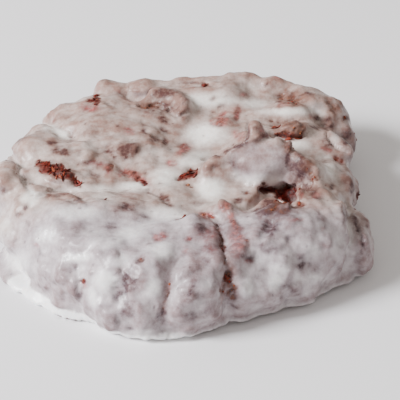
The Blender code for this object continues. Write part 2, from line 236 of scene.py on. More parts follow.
def relaxed(values, links, passes):
    """Values averaged with their neighbours' along the surface, again and again."""
    here, there, count = links
    columns = values.reshape(len(count), -1).copy()
    for _ in range(passes):
        for k in range(columns.shape[1]):
            around = np.bincount(here, weights=columns[there, k], minlength=len(count)) / count
            columns[:, k] = (columns[:, k] + around) / 2
    return columns.reshape(values.shape)


def grain(points, size, seed, stretch=(1, 1, 1)):
    """Smooth random values between about -1 and 1 that vary over that size, and are drawn out where
    stretch is under 1."""
    shift = Vector((seed * 7.13, seed * 3.71, seed * 5.37))
    spots = (points * np.array(stretch) / size).tolist()
    return np.array([noise.noise(Vector(spot) + shift) for spot in spots]) * 1.6


def ramp(values, start, length):
    """0 up to start, then up to 1 over that length. A negative length runs the other way."""
    return np.clip((values - start) / length, 0, 1)


def dot_rows(vectors, others):
    return np.einsum("ij,ij->i", vectors, others)


def place_in_view(points):
    """Where the camera sees points, in pixels across and down, and how far off they are."""
    away = points - np.array(camera.location)
    ahead = away @ np.array(CAMERA_AHEAD)
    scale = VIEW_DISTANCE / PIXEL / ahead
    half = VIEW_SIDE / 2
    return half + scale * (away @ np.array(CAMERA_RIGHT)), half - scale * (away @ np.array(CAMERA_UP)), ahead


def surface_at(tree, across, down):
    """The point of the surface that shows at a place in the view."""
    half = VIEW_SIDE / 2
    slope = PIXEL / VIEW_DISTANCE
    ray = CAMERA_AHEAD + CAMERA_RIGHT * ((across - half) * slope) - CAMERA_UP * ((down - half) * slope)
    return tree.ray_cast(camera.location, ray.normalized())[0]


def along(line, step):
    """Points along a line, a few pixels apart."""
    found = []
    for (across, down), (next_across, next_down) in zip(line, line[1:]):
        count = max(1, round(math.hypot(next_across - across, next_down - down) / step))
        for k in range(count):
            found.append((across + (next_across - across) * k / count, down + (next_down - down) * k / count))
    return [*found, line[-1]]


class Surface:
    """The dough's surface as the camera sees it, for marks that are given by where they show."""

    # How ragged marks are across, then down: (size, pixels, seed).
    WARPS = (((2.4 * MM, 1.5, 3), (0.9 * MM, 0.6, 4)), ((2.4 * MM, 1.1, 5), (0.9 * MM, 0.5, 6)))

    def __init__(self, piece):
        self.points = vectors_of(piece, "co")
        self.tree = BVHTree.FromPolygons(
            self.points.tolist(), [tuple(face.vertices) for face in piece.data.polygons]
        )
        self.across, self.down, self.ahead = place_in_view(self.points)
        self.warp_across, self.warp_down = (
            sum(pixels * grain(self.points, size, seed) for size, pixels, seed in warps)
            for warps in self.WARPS
        )

    def spot(self, across, down, half_width, half_height, turn=0.0, ragged=1.0, full=0.6, end=1.4):
        """How strongly each point belongs to an oval mark: 1 within full, 0 past end, ragged between them."""
        place = surface_at(self.tree, across, down)
        if place is None:
            return np.zeros(len(self.points))
        # A small mark is less ragged than a large one, so that it keeps its form.
        roughness = ragged * min(1.0, 0.3 + 0.12 * min(half_width, half_height))
        x = self.across + roughness * self.warp_across - across
        y = self.down + roughness * self.warp_down - down
        c, s = math.cos(math.radians(turn)), math.sin(math.radians(turn))
        away = np.hypot((x * c + y * s) / half_width, (y * c - x * s) / half_height)
        # A mark stays on the fold that it shows on, and leaves out what lies well before or behind it.
        depth = abs(self.ahead - (place - camera.location).dot(CAMERA_AHEAD))
        near = 1 - np.clip((depth / MM - 3 - 0.5 * max(half_width, half_height)) / 2, 0, 1)
        share = np.clip((end - away) / (end - full), 0, 1)
        return share * share * (3 - 2 * share) * near

    def stroke(self, line, half_width, ragged=0.5):
        """The same for a mark along a line."""
        mark = np.zeros(len(self.points))
        for across, down in along(line, max(1.0, half_width * 0.7)):
            mark = np.maximum(mark, self.spot(across, down, half_width, half_width, 0, ragged))
        return mark

    def strongest(self, ovals, ragged, full, end):
        """The strongest of several oval marks at each point, each with its own share."""
        return np.max([share * self.spot(*oval, ragged, full, end) for *oval, share in ovals], axis=0)

    def stain(self, ovals, ragged, full, end):
        """The marks of one kind together. Where two overlap, they are a little stronger."""
        total = np.zeros(len(self.points))
        for *oval, strength in ovals:
            mark = strength * self.spot(*oval, ragged, full, end)
            total = np.maximum(total, mark) + 0.3 * np.minimum(total, mark)
        return np.minimum(total, 1)


dough = fine_copy(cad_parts["fritter"], "dough", DOUGH_FACE)
links = links_of(dough)
smooth_normals = relaxed(vectors_of(dough, "normal"), links, 4)
smooth_normals /= np.linalg.norm(smooth_normals, axis=1)[:, None]
shape = vectors_of(dough, "co")
above_floor = ramp(shape[:, 2], 0, BASE_FADE)
seen = Surface(dough)

# Bumps all over, rougher at the front, with crumbs and the gaps between them where the crust broke.
relief = sum(height * grain(shape, size, k) for k, (size, height) in enumerate(DOUGH_BUMPS))
calm = seen.strongest(DOUGH_CALM, ragged=0.5, full=0.3, end=1.6)
relief *= (1 - calm) * (0.8 + 0.5 * np.clip(-smooth_normals[:, 1], 0, 1))
crumbly = seen.strongest(CRUMBLY, ragged=1.0, full=0.4, end=1.4)
crumbs = sum(share * grain(shape, size, seed) for size, share, seed in CRUST_CRUMBS)
relief += CRUST_CRUMB_HEIGHT * crumbs * crumbly
gaps = crumbly * np.clip(0.25 - 1.3 * crumbs, 0, 1)

# Grooves that closed up, then the swellings, creases and ridges.
sunk = np.clip(dot_rows(relaxed(shape, links, FILL_PASSES) - shape, smooth_normals), 0, DEEPEST_FILL)
filled = [share * seen.stroke(line, half_width, ragged=0.2) for line, half_width, share in DOUGH_FILLS]
closed = np.max(filled, axis=0)
relief = relief * (1 - 0.5 * closed) + sunk * closed
for *oval, height in DOUGH_SWELLS:
    relief += height * MM * seen.spot(*oval, ragged=0.2, full=0.15, end=2.2)
for line, half_width, depth in DOUGH_CREASES:
    relief -= depth * MM * seen.stroke(line, half_width)
for line, half_width, height in DOUGH_RIDGES:
    relief += height * MM * seen.stroke(line, half_width)
set_points(dough, shape + smooth_normals * (relief * above_floor)[:, None])
dough_points, dough_normals = vectors_of(dough, "co"), vectors_of(dough, "normal")
x_mm, y_mm, z_mm = dough_points.T / MM
seen = Surface(dough)

# Stains of the dough by kind: (across, down, half width, half height, turn in degrees, strength). Plum is
# berry juice in the dough, and painted shade too: many plum spots darken creases, hollows and the shaded
# sides of lumps. Coral is fresh fruit, rust is fruit and crust browned in the fat, and berry is bare
# strawberry.
PLUM_AND_SHADE_SPOTS = (
    (52, 143, 5, 3, 0, 0.8), (60, 152, 8, 4, 0, 0.9), (72, 137, 3, 6, -10, 0.6), (79, 154, 3, 3, 0, 0.5),
    (59, 130, 4, 2, 0, 0.5), (88, 133, 9, 6, 0, 0.2), (108, 150, 8, 5, 0, 0.5), (92, 163, 14, 3, 5, 0.6),
    (94, 174, 4, 9, 0, 0.45), (6, 190, 5, 4, 0, 0.5), (22, 139, 7, 3, -25, 0.5), (16, 155, 3, 8, 0, 0.2),
    (121, 94, 8, 3, 25, 0.35), (164, 94, 14, 5, 0, 0.75), (185, 103, 3, 9, 0, 0.35),
    (168, 109, 9, 6, 0, 0.65), (149, 111, 9, 4, 0, 0.5), (180, 116, 6, 3, 0, 0.6), (166, 104, 12, 4, 12, 0.5),
    (298, 180, 9, 6, 20, 0.5), (305, 170, 7, 10, 0, 0.4), (270, 229, 10, 8, -30, 1.0),
    (224, 236, 10, 12, 0, 0.4), (268, 224, 10, 5, -20, 0.6), (300, 263, 5, 8, 0, 0.6),
    (127, 152, 12, 7, 0, 0.5), (163, 120, 7, 3, 40, 0.8), (163, 130, 5, 2, 30, 0.8),
    (144, 131, 3, 5, -15, 0.8), (154, 139, 5, 3, 0, 0.7), (165, 142, 4, 3, 30, 0.75),
    (128, 150, 9, 7, 0, 0.75), (133, 151, 5, 4, 0, 0.8), (124, 156, 5, 5, 0, 0.6),
    (114, 158, 2.5, 2.5, 0, 0.9), (190, 83, 9, 1.8, 5, 0.7), (171, 79, 9, 1.5, 3, 0.6),
    (222, 88, 5, 2.5, -30, 0.4), (214, 99, 5, 2, -25, 0.6), (232, 94, 3, 3, 0, 0.3), (245, 95, 5, 4, 0, 0.3),
    (222, 107, 4, 2, -20, 0.6), (215, 156, 11, 2.5, -10, 0.5), (234, 164, 5, 9, -5, 0.45),
    (214, 167, 6, 4, 0, 0.4), (237, 114, 3, 6, 5, 0.8), (264, 135, 5, 3, 10, 0.8),
    (226, 152, 7, 1.6, -22, 0.8), (239, 146, 7, 1.6, -16, 0.9), (248, 135, 1.7, 9, 8, 0.9),
    (268, 200, 7, 1.6, 25, 0.6), (256, 128, 2.5, 2.5, 0, 0.7), (278, 97, 3, 3, 0, 0.8),
    (278, 102, 3, 2, 0, 0.8), (292, 97, 3, 4, 0, 0.7), (308, 94, 4, 3, 0, 0.6), (318, 119, 4, 3, 30, 0.7),
    (315, 128, 5, 2, 15, 0.8), (326, 124, 7, 7, 0, 0.6), (348, 118, 5, 2, 20, 0.6), (347, 134, 5, 6, 0, 0.6),
    (345, 143, 3, 4, 0, 0.9), (326, 139, 5, 6, 0, 0.5), (331, 147, 8, 5, 20, 0.5), (350, 164, 4, 7, 0, 0.6),
    (300, 163, 10, 6, 35, 0.45), (288, 158, 4, 6, 0, 0.8), (290, 146, 8, 5, 0, 0.5), (77, 200, 8, 4, 10, 0.6),
    (55, 196, 14, 2, -5, 0.5), (24, 208, 4, 3, 0, 0.6), (20, 214, 4, 3, -30, 0.5), (29, 224, 2, 3, 0, 0.5),
    (39, 252, 2.5, 5, 10, 0.6), (16, 240, 4, 2, -30, 0.5), (83, 225, 4, 3, 0, 0.5), (78, 237, 6, 2, 0, 0.5),
    (87, 243, 3, 2, -30, 0.4), (125, 206, 5, 3, 0, 0.9), (134, 206, 11, 7, 0, 0.5), (142, 219, 8, 5, 0, 0.6),
    (111, 226, 8, 4, -20, 0.6), (164, 199, 6, 3, 40, 0.9), (149, 193, 9, 3, 10, 0.45),
    (168, 205, 4, 4, 0, 0.5), (198, 204, 5, 3, 0, 0.5), (198, 227, 6, 3, 20, 0.7), (205, 232, 8, 8, 0, 0.6),
    (202, 228, 5, 3, 0, 0.7), (190, 239, 3, 2, 0, 0.8), (118, 249, 12, 5, -20, 0.3), (157, 267, 4, 5, 0, 0.5),
    (131, 268, 3, 5, 15, 0.5), (126, 277, 6, 5, 0, 0.9), (129, 285, 8, 6, 0, 1.0), (135, 281, 5, 3, 0, 0.7),
    (122, 291, 5, 6, 10, 0.8), (118, 297, 6, 5, 0, 0.6), (128, 301, 4, 3, 0, 0.5), (126, 312, 7, 6, 0, 0.55),
    (117, 320, 9, 5, 0, 0.35), (131, 328, 4, 1.6, 15, 0.6), (162, 315, 4, 8, 12, 0.75),
    (157, 326, 6, 5, 0, 0.3), (192, 294, 10, 5, 0, 0.6), (190, 316, 12, 5, 0, 0.5), (198, 267, 5, 5, 0, 0.5),
    (179, 307, 5, 4, 0, 0.4), (190, 280, 12, 14, 0, 0.3), (75, 267, 4, 4, 0, 0.75), (69, 270, 7, 3, 0, 0.45),
    (55, 282, 4, 3, 0, 0.5), (80, 293, 3, 7, 0, 0.85), (69, 298, 8, 4, 0, 0.4), (44, 288, 4, 2, 40, 0.6),
    (246, 193, 4, 2, 0, 0.8), (238, 201, 6, 2.5, -15, 0.7), (210, 249, 9, 6, 0, 0.6),
    (207, 262, 4, 4, 0, 0.4), (241, 256, 4, 2.5, 0, 0.9), (249, 259, 4, 3, 0, 1.0),
    (254, 254, 2.5, 4, 10, 0.7), (254, 276, 5, 3, 0, 0.5), (262, 270, 5, 2, 0, 0.4), (265, 213, 5, 3, 0, 0.8),
    (257, 214, 5, 3, 0, 0.5), (270, 207, 10, 8, 0, 0.9), (262, 214, 9, 5, 0, 0.85), (279, 214, 8, 5, 0, 0.7),
    (291, 212, 8, 6, 0, 0.5), (247, 214, 5, 2, 0, 0.4), (272, 226, 8, 6, -20, 0.9), (266, 233, 5, 6, 0, 0.9),
    (261, 237, 5, 3, 0, 0.6), (286, 210, 7, 7, 0, 0.6), (288, 239, 4, 4, 0, 0.8), (291, 236, 7, 7, 0, 0.3),
    (272, 250, 10, 5, 0, 0.5), (262, 246, 7, 5, 0, 0.45), (286, 227, 6, 5, 0, 0.5), (281, 286, 6, 3, 0, 0.5),
    (289, 283, 4, 8, 0, 0.55), (293, 292, 9, 6, 0, 0.5), (283, 298, 5, 4, -20, 0.45),
    (301, 264, 4, 7, 0, 0.8), (338, 268, 4, 7, 0, 0.4), (323, 246, 5, 5, 0, 0.4), (314, 266, 8, 6, 0, 0.3),
    (331, 187, 3, 4, 0, 0.6), (314, 192, 4, 6, 0, 0.5), (307, 188, 7, 7, 0, 0.6), (318, 199, 5, 4, 0, 0.5),
    (352, 186, 3, 8, 0, 0.6), (345, 180, 5, 9, 0, 0.25), (318, 216, 3, 5, 0, 0.4), (324, 218, 4, 4, 0, 0.3),
    (345, 216, 4, 9, -20, 0.5), (363, 225, 8, 14, -20, 0.2), (357, 228, 2.5, 8, -25, 0.85),
    (363, 242, 2.5, 6, -15, 0.7), (354, 218, 3, 4, 0, 0.7), (323, 284, 4, 6, 0, 0.4),
    (298, 168, 13, 8, 40, 0.7), (248, 131, 1.6, 8, 0, 0.7), (306, 178, 8, 5, 45, 0.4),
    (299, 156, 7, 4, 35, 0.6), (228, 300, 5, 6, 0, 0.5), (233, 306, 6, 4, 0, 0.5), (208, 312, 8, 5, 0, 0.4),
)
CORAL_SPOTS = (
    (90, 108, 11, 4.5, 5, 0.9), (130, 131, 7, 2.4, 12, 0.75), (129, 134, 6, 3, 0, 0.4),
    (185, 148, 6.5, 4.5, -12, 1.0), (180, 153, 4, 2.5, 0, 0.7), (171, 164, 7, 4, 0, 0.8),
    (178, 168, 3, 2.5, 0, 0.45), (223, 116, 3, 5, 30, 0.9), (221, 122, 6, 7, 10, 1.0),
    (212, 124, 2.5, 4, -20, 0.7), (237, 114, 4, 7, 5, 0.45), (234, 116, 8, 8, 0, 0.35),
    (237, 135, 8, 6, 0, 0.5), (280, 78, 8, 1.8, 0, 0.5), (283, 105, 6, 3, 0, 0.5), (243, 95, 4, 3, 0, 0.45),
    (338, 160, 7, 3, 35, 0.9), (328, 151, 8, 3, 25, 0.5), (37, 245, 3, 3, 0, 0.75), (108, 169, 4, 5, 0, 0.95),
    (135, 178, 4, 2.4, 0, 0.6), (149, 185, 5, 4, 40, 0.6), (126, 173, 8, 4, 5, 1.0),
    (135, 176, 7, 4.5, 25, 1.0), (142, 181, 5, 5, 50, 1.0), (160, 238, 8, 5, -10, 0.9),
    (187, 239, 4, 2.4, 0, 0.6), (185, 250, 4, 4, 0, 0.45), (205, 215, 8, 4, 5, 1.0), (212, 216, 4, 3, 0, 0.9),
    (226, 205, 5, 4, 0, 0.8), (223, 209, 4, 3, 0, 0.6), (234, 224, 4, 7, -25, 0.75),
    (238, 240, 9, 15, 0, 0.6), (212, 234, 9, 8, 0, 0.35), (252, 232, 8, 8, 0, 0.3), (209, 250, 6, 5, 0, 0.3),
    (222, 207, 4, 3, 0, 0.5), (231, 216, 4, 5, -25, 0.5), (249, 262, 5, 2.5, 0, 0.5),
    (297, 220, 6, 2, 0, 0.85), (301, 194, 2.4, 6, 10, 0.7), (322, 229, 3, 2, 0, 0.4), (52, 118, 4, 5, 0, 0.2),
    (86, 286, 3, 2, 0, 0.7), (84, 282, 4, 2.6, 0, 1.0), (169, 286, 2.4, 4, 10, 0.5), (98, 164, 14, 3, 0, 0.3),
    (200, 240, 8, 6, 0, 0.25), (318, 196, 5, 4, 0, 0.4), (313, 116, 4, 5, 0, 0.25),
)
RUST_SPOTS = (
    (147, 107, 7, 2.6, 0, 1.0), (154, 104, 8, 2, -5, 0.6), (285, 92, 5, 4, -30, 0.6), (303, 96, 5, 3, 0, 0.8),
    (283, 134, 8, 5, 0, 1.0), (296, 130, 8, 4, 0, 0.8), (285, 130, 7, 3, 0, 0.5), (308, 170, 9, 3, 30, 0.8),
    (314, 176, 6, 4, 20, 1.0), (276, 127, 4, 5, 0, 0.8), (297, 134, 7, 5, 0, 1.0), (290, 99, 12, 4, 0, 0.7),
    (297, 104, 10, 3, 0, 0.6), (331, 104, 3, 7, -35, 0.5), (335, 110, 4, 5, -30, 0.5),
    (290, 123, 12, 3, 0, 0.6), (280, 134, 5, 4, 0, 1.0), (289, 135, 6, 4, 0, 1.0), (298, 135, 5, 4, 0, 1.0),
    (302, 129, 3.5, 5, 0, 0.9), (270, 121, 6, 1.6, 5, 0.6), (261, 122, 2.4, 4, 0, 0.9),
    (287, 149, 3, 4, 0, 0.7), (313, 173, 5, 2, 20, 0.9), (316, 176, 3, 3, 0, 1.0), (312, 184, 1.8, 6, 0, 0.8),
    (46, 197, 6, 1.8, -20, 0.5), (79, 185, 2.5, 4, -15, 1.0), (140, 261, 5, 2.4, -10, 0.9),
    (164, 199, 2.4, 2, 40, 0.7), (190, 186, 6, 1.6, 20, 0.8), (168, 290, 2.6, 8, 8, 0.9),
    (165, 305, 3, 6, 5, 0.7), (223, 245, 4, 6, 0, 0.9), (225, 262, 3, 8, 0, 0.7), (228, 276, 5, 7, 0, 1.0),
    (231, 288, 5, 8, 0, 0.9), (222, 285, 3, 10, 5, 0.7), (233, 297, 4, 3, 0, 0.9), (220, 300, 3, 6, 10, 0.5),
    (216, 228, 3, 6, -20, 0.7), (221, 238, 2.5, 7, -10, 0.8), (246, 240, 3, 7, -10, 0.6),
    (277, 203, 5, 5, 0, 0.9), (276, 208, 4, 4, 0, 0.9), (270, 211, 6, 4, 0, 0.7), (284, 211, 6, 4, 0, 0.6),
    (263, 184, 3.5, 3, 0, 1.0), (301, 204, 4, 4, 0, 1.0), (355, 201, 3, 2, 30, 0.6),
    (245, 193, 3, 1.6, 0, 0.7), (143, 285, 3, 5, 0, 0.35), (202, 127, 8, 1.2, -10, 0.4),
    (301, 222, 2.5, 2.4, 0, 0.8), (109, 168, 4, 5, 0, 0.9), (138, 178, 7, 4, 35, 0.75),
    (129, 173, 8, 3, 8, 0.8), (299, 194, 2.4, 8, 8, 0.7), (306, 161, 8, 2.4, 45, 0.6),
    (290, 149, 3, 4, 0, 0.8), (185, 147, 4, 3, -12, 0.6), (338, 160, 6, 3.4, 35, 0.85),
    (221, 123, 4, 5, 10, 0.7), (225, 206, 4, 4, 0, 0.85), (235, 225, 3, 6, -25, 0.5),
    (170, 205, 3, 2, 40, 0.6), (150, 106, 12, 3, -3, 0.9),
)
BERRY_SPOTS = (
    (42, 166, 7, 5.4, 20, 1.0), (50, 170, 10, 6.4, 20, 1.0), (60, 167, 6, 3.6, -5, 1.0),
    (61, 174, 8, 5.6, 10, 1.0), (69, 176, 6, 4.4, 20, 1.0), (77, 183, 3, 4, -25, 0.9),
    (92, 101, 5, 2, 5, 1.0), (97, 99, 3.4, 3, 50, 1.0), (97, 103, 3, 2.6, 0, 1.0), (193, 173, 6, 3.6, 0, 1.0),
    # The spots from 265 to 290 across, near 190 down, lie in the hollow under the crag: bare fruit and
    # painted shade.
    (186, 176, 7, 3.4, -28, 1.0), (179, 180, 3, 2, 0, 0.8), (265, 190, 7, 3, 0, 1.0),
    (276, 190, 6, 3, 0, 1.0), (287, 192, 10, 7, 20, 1.0), (290, 198, 6, 7, -10, 1.0),
    (205, 85, 5, 2.4, 15, 0.9), (288, 136, 13, 3.4, 0, 0.8), (228, 278, 4, 3.6, 0, 0.7),
    (83, 281, 3.4, 2, 10, 0.9), (144, 184, 3, 3, 0, 0.8), (210, 217, 3, 2, 0, 0.6),
    (223, 249, 4, 3.4, 0, 0.5), (108, 170, 2.2, 3, 0, 0.6), (221, 126, 3, 2.4, 0, 0.4),
    (301, 205, 3, 2.6, 0, 0.8),
)
# The hollow under the crag, whose walls are bare fruit, left with no glaze and no lighter flakes so that it
# reads dark: painted shade as well as fruit.
SHADED_HOLLOW = (
    (271, 190, 12, 2.9, 0, 1.0), (288, 194, 8, 8, 20, 1.0), (281, 197, 6, 3.4, 20, 1.0),
    (293, 192, 4.5, 6, 0, 1.0),
)
CRAG_FACE = (262, 162, 34, 22, 10)
BACK_FROM, TOP_FROM, LOBE_FROM, FOOT_TO = 30, -26, 56, 2  # mm along y, y, x and z

# The camera sees the front and the top. The same kinds of stain go on over the rest by chance.
hidden = ramp(y_mm, BACK_FROM, 12) * np.clip(1.4 - dough_normals[:, 2] * 1.6, 0, 1)
hidden = np.maximum(hidden, np.clip(dough_normals[:, 1] * 3 - 0.6, 0, 1))
hidden = np.maximum(hidden, np.clip(dough_normals[:, 0] * 3 - 1.4, 0, 1) * (y_mm > 0))
chance_plum, chance_coral, chance_rust, chance_berry = (
    hidden * np.clip(grain(dough_points, size, seed) * gain - less, 0, most)
    for size, seed, gain, less, most in (
        (5 * MM, 21, 1.4, 0.3, 0.8), (5 * MM, 22, 2.4, 1.25, 0.9),
        (4.4 * MM, 23, 2.4, 1.35, 1), (5.5 * MM, 24, 4, 3.3, 1),
    )
)
torn = np.clip(0.5 + 1.3 * grain(dough_points, 1.3 * MM, 25), 0, 1)
patchy = np.clip(0.85 + 0.45 * grain(dough_points, 1.5 * MM, 26, (0.6, 1, 1)), 0.3, 1.25)
speckled = 0.8 * np.clip(grain(dough_points, 1.1 * MM, 27) * 3.5 - 3.0, 0, 1)
on_top = ramp(y_mm, TOP_FROM, 10)
# The plum mark is stain and painted shade together: it also darkens creases, hollows and shaded sides.
plum_and_shade = (1.2 + 0.4 * on_top) * seen.stain(PLUM_AND_SHADE_SPOTS, ragged=1.6, full=0.15, end=1.7)
plum_and_shade = np.maximum(plum_and_shade, chance_plum) * patchy
plum_and_shade = np.clip(plum_and_shade + speckled, 0, 1)
coral = seen.stain(CORAL_SPOTS, ragged=1.2, full=0.45, end=1.4)
coral = np.maximum(coral, chance_coral) * (0.65 + 0.35 * torn)
rust = seen.stain(RUST_SPOTS, ragged=1.2, full=0.5, end=1.4)
rust = np.maximum(rust, chance_rust) * (0.35 + 0.65 * torn)
rust = np.maximum(rust, 0.75 * gaps)
shaded_hollow = seen.strongest(SHADED_HOLLOW, ragged=0.5, full=0.8, end=1.2)
berry = seen.stain(BERRY_SPOTS, ragged=2.0, full=0.7, end=1.3)
berry = np.maximum(berry, chance_berry) * (0.75 + 0.25 * torn)
# The hollow under the crag is bare dark fruit, which also paints its shade.
berry = np.maximum(berry, shaded_hollow)
# Warm tints crust and glaze beige, most on the faces of the top that point up. The front, the foot, the right
# lobe and the crag's face get less of it and stay cooler.
warm = on_top * np.clip(0.35 + 0.9 * dough_normals[:, 2], 0, 1)
warm *= ramp(x_mm, LOBE_FROM, -10) * 0.5 + 0.5
warm *= 1 - 0.75 * seen.spot(*CRAG_FACE, ragged=0.5, full=0.5, end=1.4)
warm *= ramp(z_mm, FOOT_TO, 6)
warm = relaxed(warm, links, 4)


def set_value(piece, name, values):
    attribute = piece.data.attributes.new(name, "FLOAT", "POINT")
    attribute.data.foreach_set("value", np.clip(values, 0, 1).astype(np.float32))


for name, values in (("plum_and_shade", plum_and_shade), ("coral", coral), ("rust", rust), ("berry", berry), ("warm", warm)):
    set_value(dough, name, values)


def shader_group(name, inputs):
    """A node group with inputs by name, as (kind, value), and a Color output. Returns it and its entry."""
    group = bpy.data.node_groups.new(name, "ShaderNodeTree")
    for title, (kind, value) in inputs.items():
        socket = group.interface.new_socket(name=title, in_out="INPUT", socket_type=kind)
        socket.default_value = value
    group.interface.new_socket(name="Color", in_out="OUTPUT", socket_type="NodeSocketColor")
    return group, group.nodes.new("NodeGroupInput")


def wire(tree, kind, inputs=None, **settings):
    """A node with its settings, its inputs linked or set, in one call."""
    node = tree.nodes.new(kind)
    for name, value in settings.items():
        setattr(node, name, value)
    for key, value in (inputs or {}).items():
        if isinstance(value, bpy.types.NodeSocket):
            tree.links.new(value, node.inputs[key])
        else:
            node.inputs[key].default_value = value
    return node


def noise_over(tree, scale, detail, roughness):
    """Noise that stays on the piece. Returns its socket, around 0.5."""
    place = wire(tree, "ShaderNodeTexCoord").outputs["Object"]
    settings = {"Vector": place, "Scale": scale, "Detail": detail, "Roughness": roughness}
    return wire(tree, "ShaderNodeTexNoise", settings).outputs["Fac"]


def blend_colours(tree, share, low, high, how="MIX"):
    """Two colours mixed by a share. Returns the mixed colour's socket."""
    mix = wire(tree, "ShaderNodeMix", {0: share, 6: low, 7: high}, data_type="RGBA", blend_type=how)
    return mix.outputs[2]


def reshape_value(tree, value, low, high, to_low=0.0, to_high=1.0):
    node = wire(tree, "ShaderNodeMapRange", {0: value, 1: low, 2: high, 3: to_low, 4: to_high})
    return node.outputs[0]


def combine(tree, operation, one, other):
    return wire(tree, "ShaderNodeMath", {0: one, 1: other}, operation=operation).outputs[0]


def point_value(tree, name):
    """A value that the mesh carries at its points."""
    return wire(tree, "ShaderNodeAttribute", attribute_name=name.lower()).outputs["Fac"]


def place_group(tree, group, values):
    """A group's node in a material, fed with the mesh's own values of those names."""
    node = wire(tree, "ShaderNodeGroup", node_tree=group)
    for name in values:
        tree.links.new(point_value(tree, name), node.inputs[name])
    return node


def food_material(name):
    material = bpy.data.materials.new(name)
    material.use_nodes = True
    return material, material.node_tree


def finish_shader(tree, colour, height, bump_strength, bump_distance, roughness, settings):
    """Links a material's shader to its colour, relief and roughness, and sets what is even all over."""
    bump = {"Strength": bump_strength, "Distance": bump_distance, "Height": height}
    shader = tree.nodes["Principled BSDF"]
    tree.links.new(colour, shader.inputs["Base Color"])
    tree.links.new(wire(tree, "ShaderNodeBump", bump).outputs["Normal"], shader.inputs["Normal"])
    tree.links.new(roughness, shader.inputs["Roughness"])
    for name, value in settings.items():
        shader.inputs[name].default_value = value
    return shader


# The colour of the dough, from how much of each stain is at a point. Pairs are darker and lighter, and
# mauve is cool and warm.
CRUST = (0.205, 0.118, 0.108, 1), (0.320, 0.205, 0.182, 1)
WARM_CRUST, COOL_CRUST = (0.29, 0.155, 0.09, 1), (0.20, 0.148, 0.158, 1)
# Mauve is the colour of the plum mark, which is berry stain and painted shade.
MAUVE_AND_SHADE = (0.075, 0.044, 0.049, 1), (0.080, 0.036, 0.032, 1)
FLUSHED = (0.16, 0.030, 0.032, 1), (0.37, 0.115, 0.105, 1)
AMBER = (0.040, 0.011, 0.007, 1), (0.160, 0.058, 0.032, 1)
FLESH = (0.034, 0.0018, 0.0011, 1), (0.115, 0.010, 0.0050, 1)
STAINS = ("Plum_and_shade", "Coral", "Rust", "Berry", "Warm")
DOUGH_BUMP, DOUGH_BUMP_DEPTH = 0.5, 0.25 * MM

stained_dough, entry = shader_group("stained_dough", {name: ("NodeSocketFloat", 0.0) for name in STAINS})
fine = noise_over(stained_dough, scale=900, detail=4, roughness=0.65)
broad = noise_over(stained_dough, scale=210, detail=3, roughness=0.55)
warmth = entry.outputs["Warm"]
crust = blend_colours(stained_dough, reshape_value(stained_dough, broad, 0.35, 0.65), *CRUST)
crust = blend_colours(stained_dough, reshape_value(stained_dough, warmth, 0, 1, 0, 0.3), crust, WARM_CRUST)
crust = blend_colours(stained_dough, reshape_value(stained_dough, warmth, 0, 0.7, 0.65, 0), crust, COOL_CRUST)
frayed = reshape_value(stained_dough, fine, 0.36, 0.64, 0.6, 1.4)
plum_and_shade_share, coral_share = (
    combine(stained_dough, "MULTIPLY", entry.outputs[name], frayed) for name in ("Plum_and_shade", "Coral")
)
# Plum stain and painted shade, in mauve.
crust = blend_colours(stained_dough, plum_and_shade_share, crust, blend_colours(stained_dough, warmth, *MAUVE_AND_SHADE))
for share, stain_colours, low, high in (
    (coral_share, FLUSHED, 0.44, 0.62),
    (entry.outputs["Rust"], AMBER, 0.42, 0.60),
    (entry.outputs["Berry"], FLESH, 0.40, 0.62),
):
    grained = blend_colours(stained_dough, reshape_value(stained_dough, fine, low, high), *stain_colours)
    crust = blend_colours(stained_dough, share, crust, grained)
wire(stained_dough, "NodeGroupOutput", {"Color": crust})

fried_dough, tree = food_material("fried_dough")
crumb = noise_over(tree, scale=1500, detail=4, roughness=0.6)
finish_shader(
    tree, place_group(tree, stained_dough, STAINS).outputs["Color"],
    crumb, DOUGH_BUMP, DOUGH_BUMP_DEPTH, reshape_value(tree, crumb, 0.3, 0.7, 0.36, 0.6),
    {
        "Subsurface Weight": 0.12, "Subsurface Radius": (1.0, 0.35, 0.25), "Subsurface Scale": 0.8 * MM,
        "Specular IOR Level": 0.2,
    },
)
dough.data.materials.clear()
dough.data.materials.append(fried_dough)
dough.data.shade_smooth()
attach(dough, "root")
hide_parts("fritter")

# ------------------------------------------------------------------------------
# The glaze: sugar and milk poured over the warm fritter and left to set. It runs off the ridges, where the
# dough shows through it, gathers in the hollows, and sets as a ledge round the left of the base.
GLAZE_COAT = 0.22 * MM  # where it neither ran off nor gathered
GLAZE_POOL = 0.45 * MM  # how much thicker it is in a pool
GLAZE_FILL = 0.55  # how much of a hollow it fills
GLAZE_SUNK = -0.45 * MM  # where there is none, its face stays under the dough's
GLAZE_LEAST = 0.07 * MM  # the thinnest coat that hides the dough's face
# What share of the dough it hides with no marks, and what hollows, drips and the marks below add or take.
COVER_ALL_OVER, LEAST_COVER = 0.31, 0.06
HOLLOW_ADDS, DRIPS_ADD, DRIFT_ADDS, THICK_ADDS, POOL_ADDS = 0.2, 0.10, 0.06, 0.26, 0.65
VEIL_TAKES, CRUMBS_TAKE, WISPS_TAKE = 0.18, 0.22, 0.16
# The plum mark, stain and painted shade, also takes glaze away over shaded creases and hollows.
STAIN_SHOWS = 0.92  # how much of the glaze a plum or coral stain takes away
LEDGE_TOP, LEDGE_EDGE = 3.2, 0.8  # mm above the floor, and over how many mm it thins out there
LEDGE_DEPTH = 0.7 * MM  # how far the dough draws back under it
LEDGE_FROM, LEDGE_TO = 172, 278  # degrees round the fritter, counted from its right end
CHALK_FROM = 206  # where the ledge turns chalky white
LIP_FROM, LIP_TO = 258, 345  # where the coat ends in a thin overhanging lip
LIP_HEIGHT, LIP_THICKNESS = 2.2, 0.6  # mm
LIP_REACH = 1.3 * MM  # how far it stands out
FROST_HEIGHT = 0.45 * MM
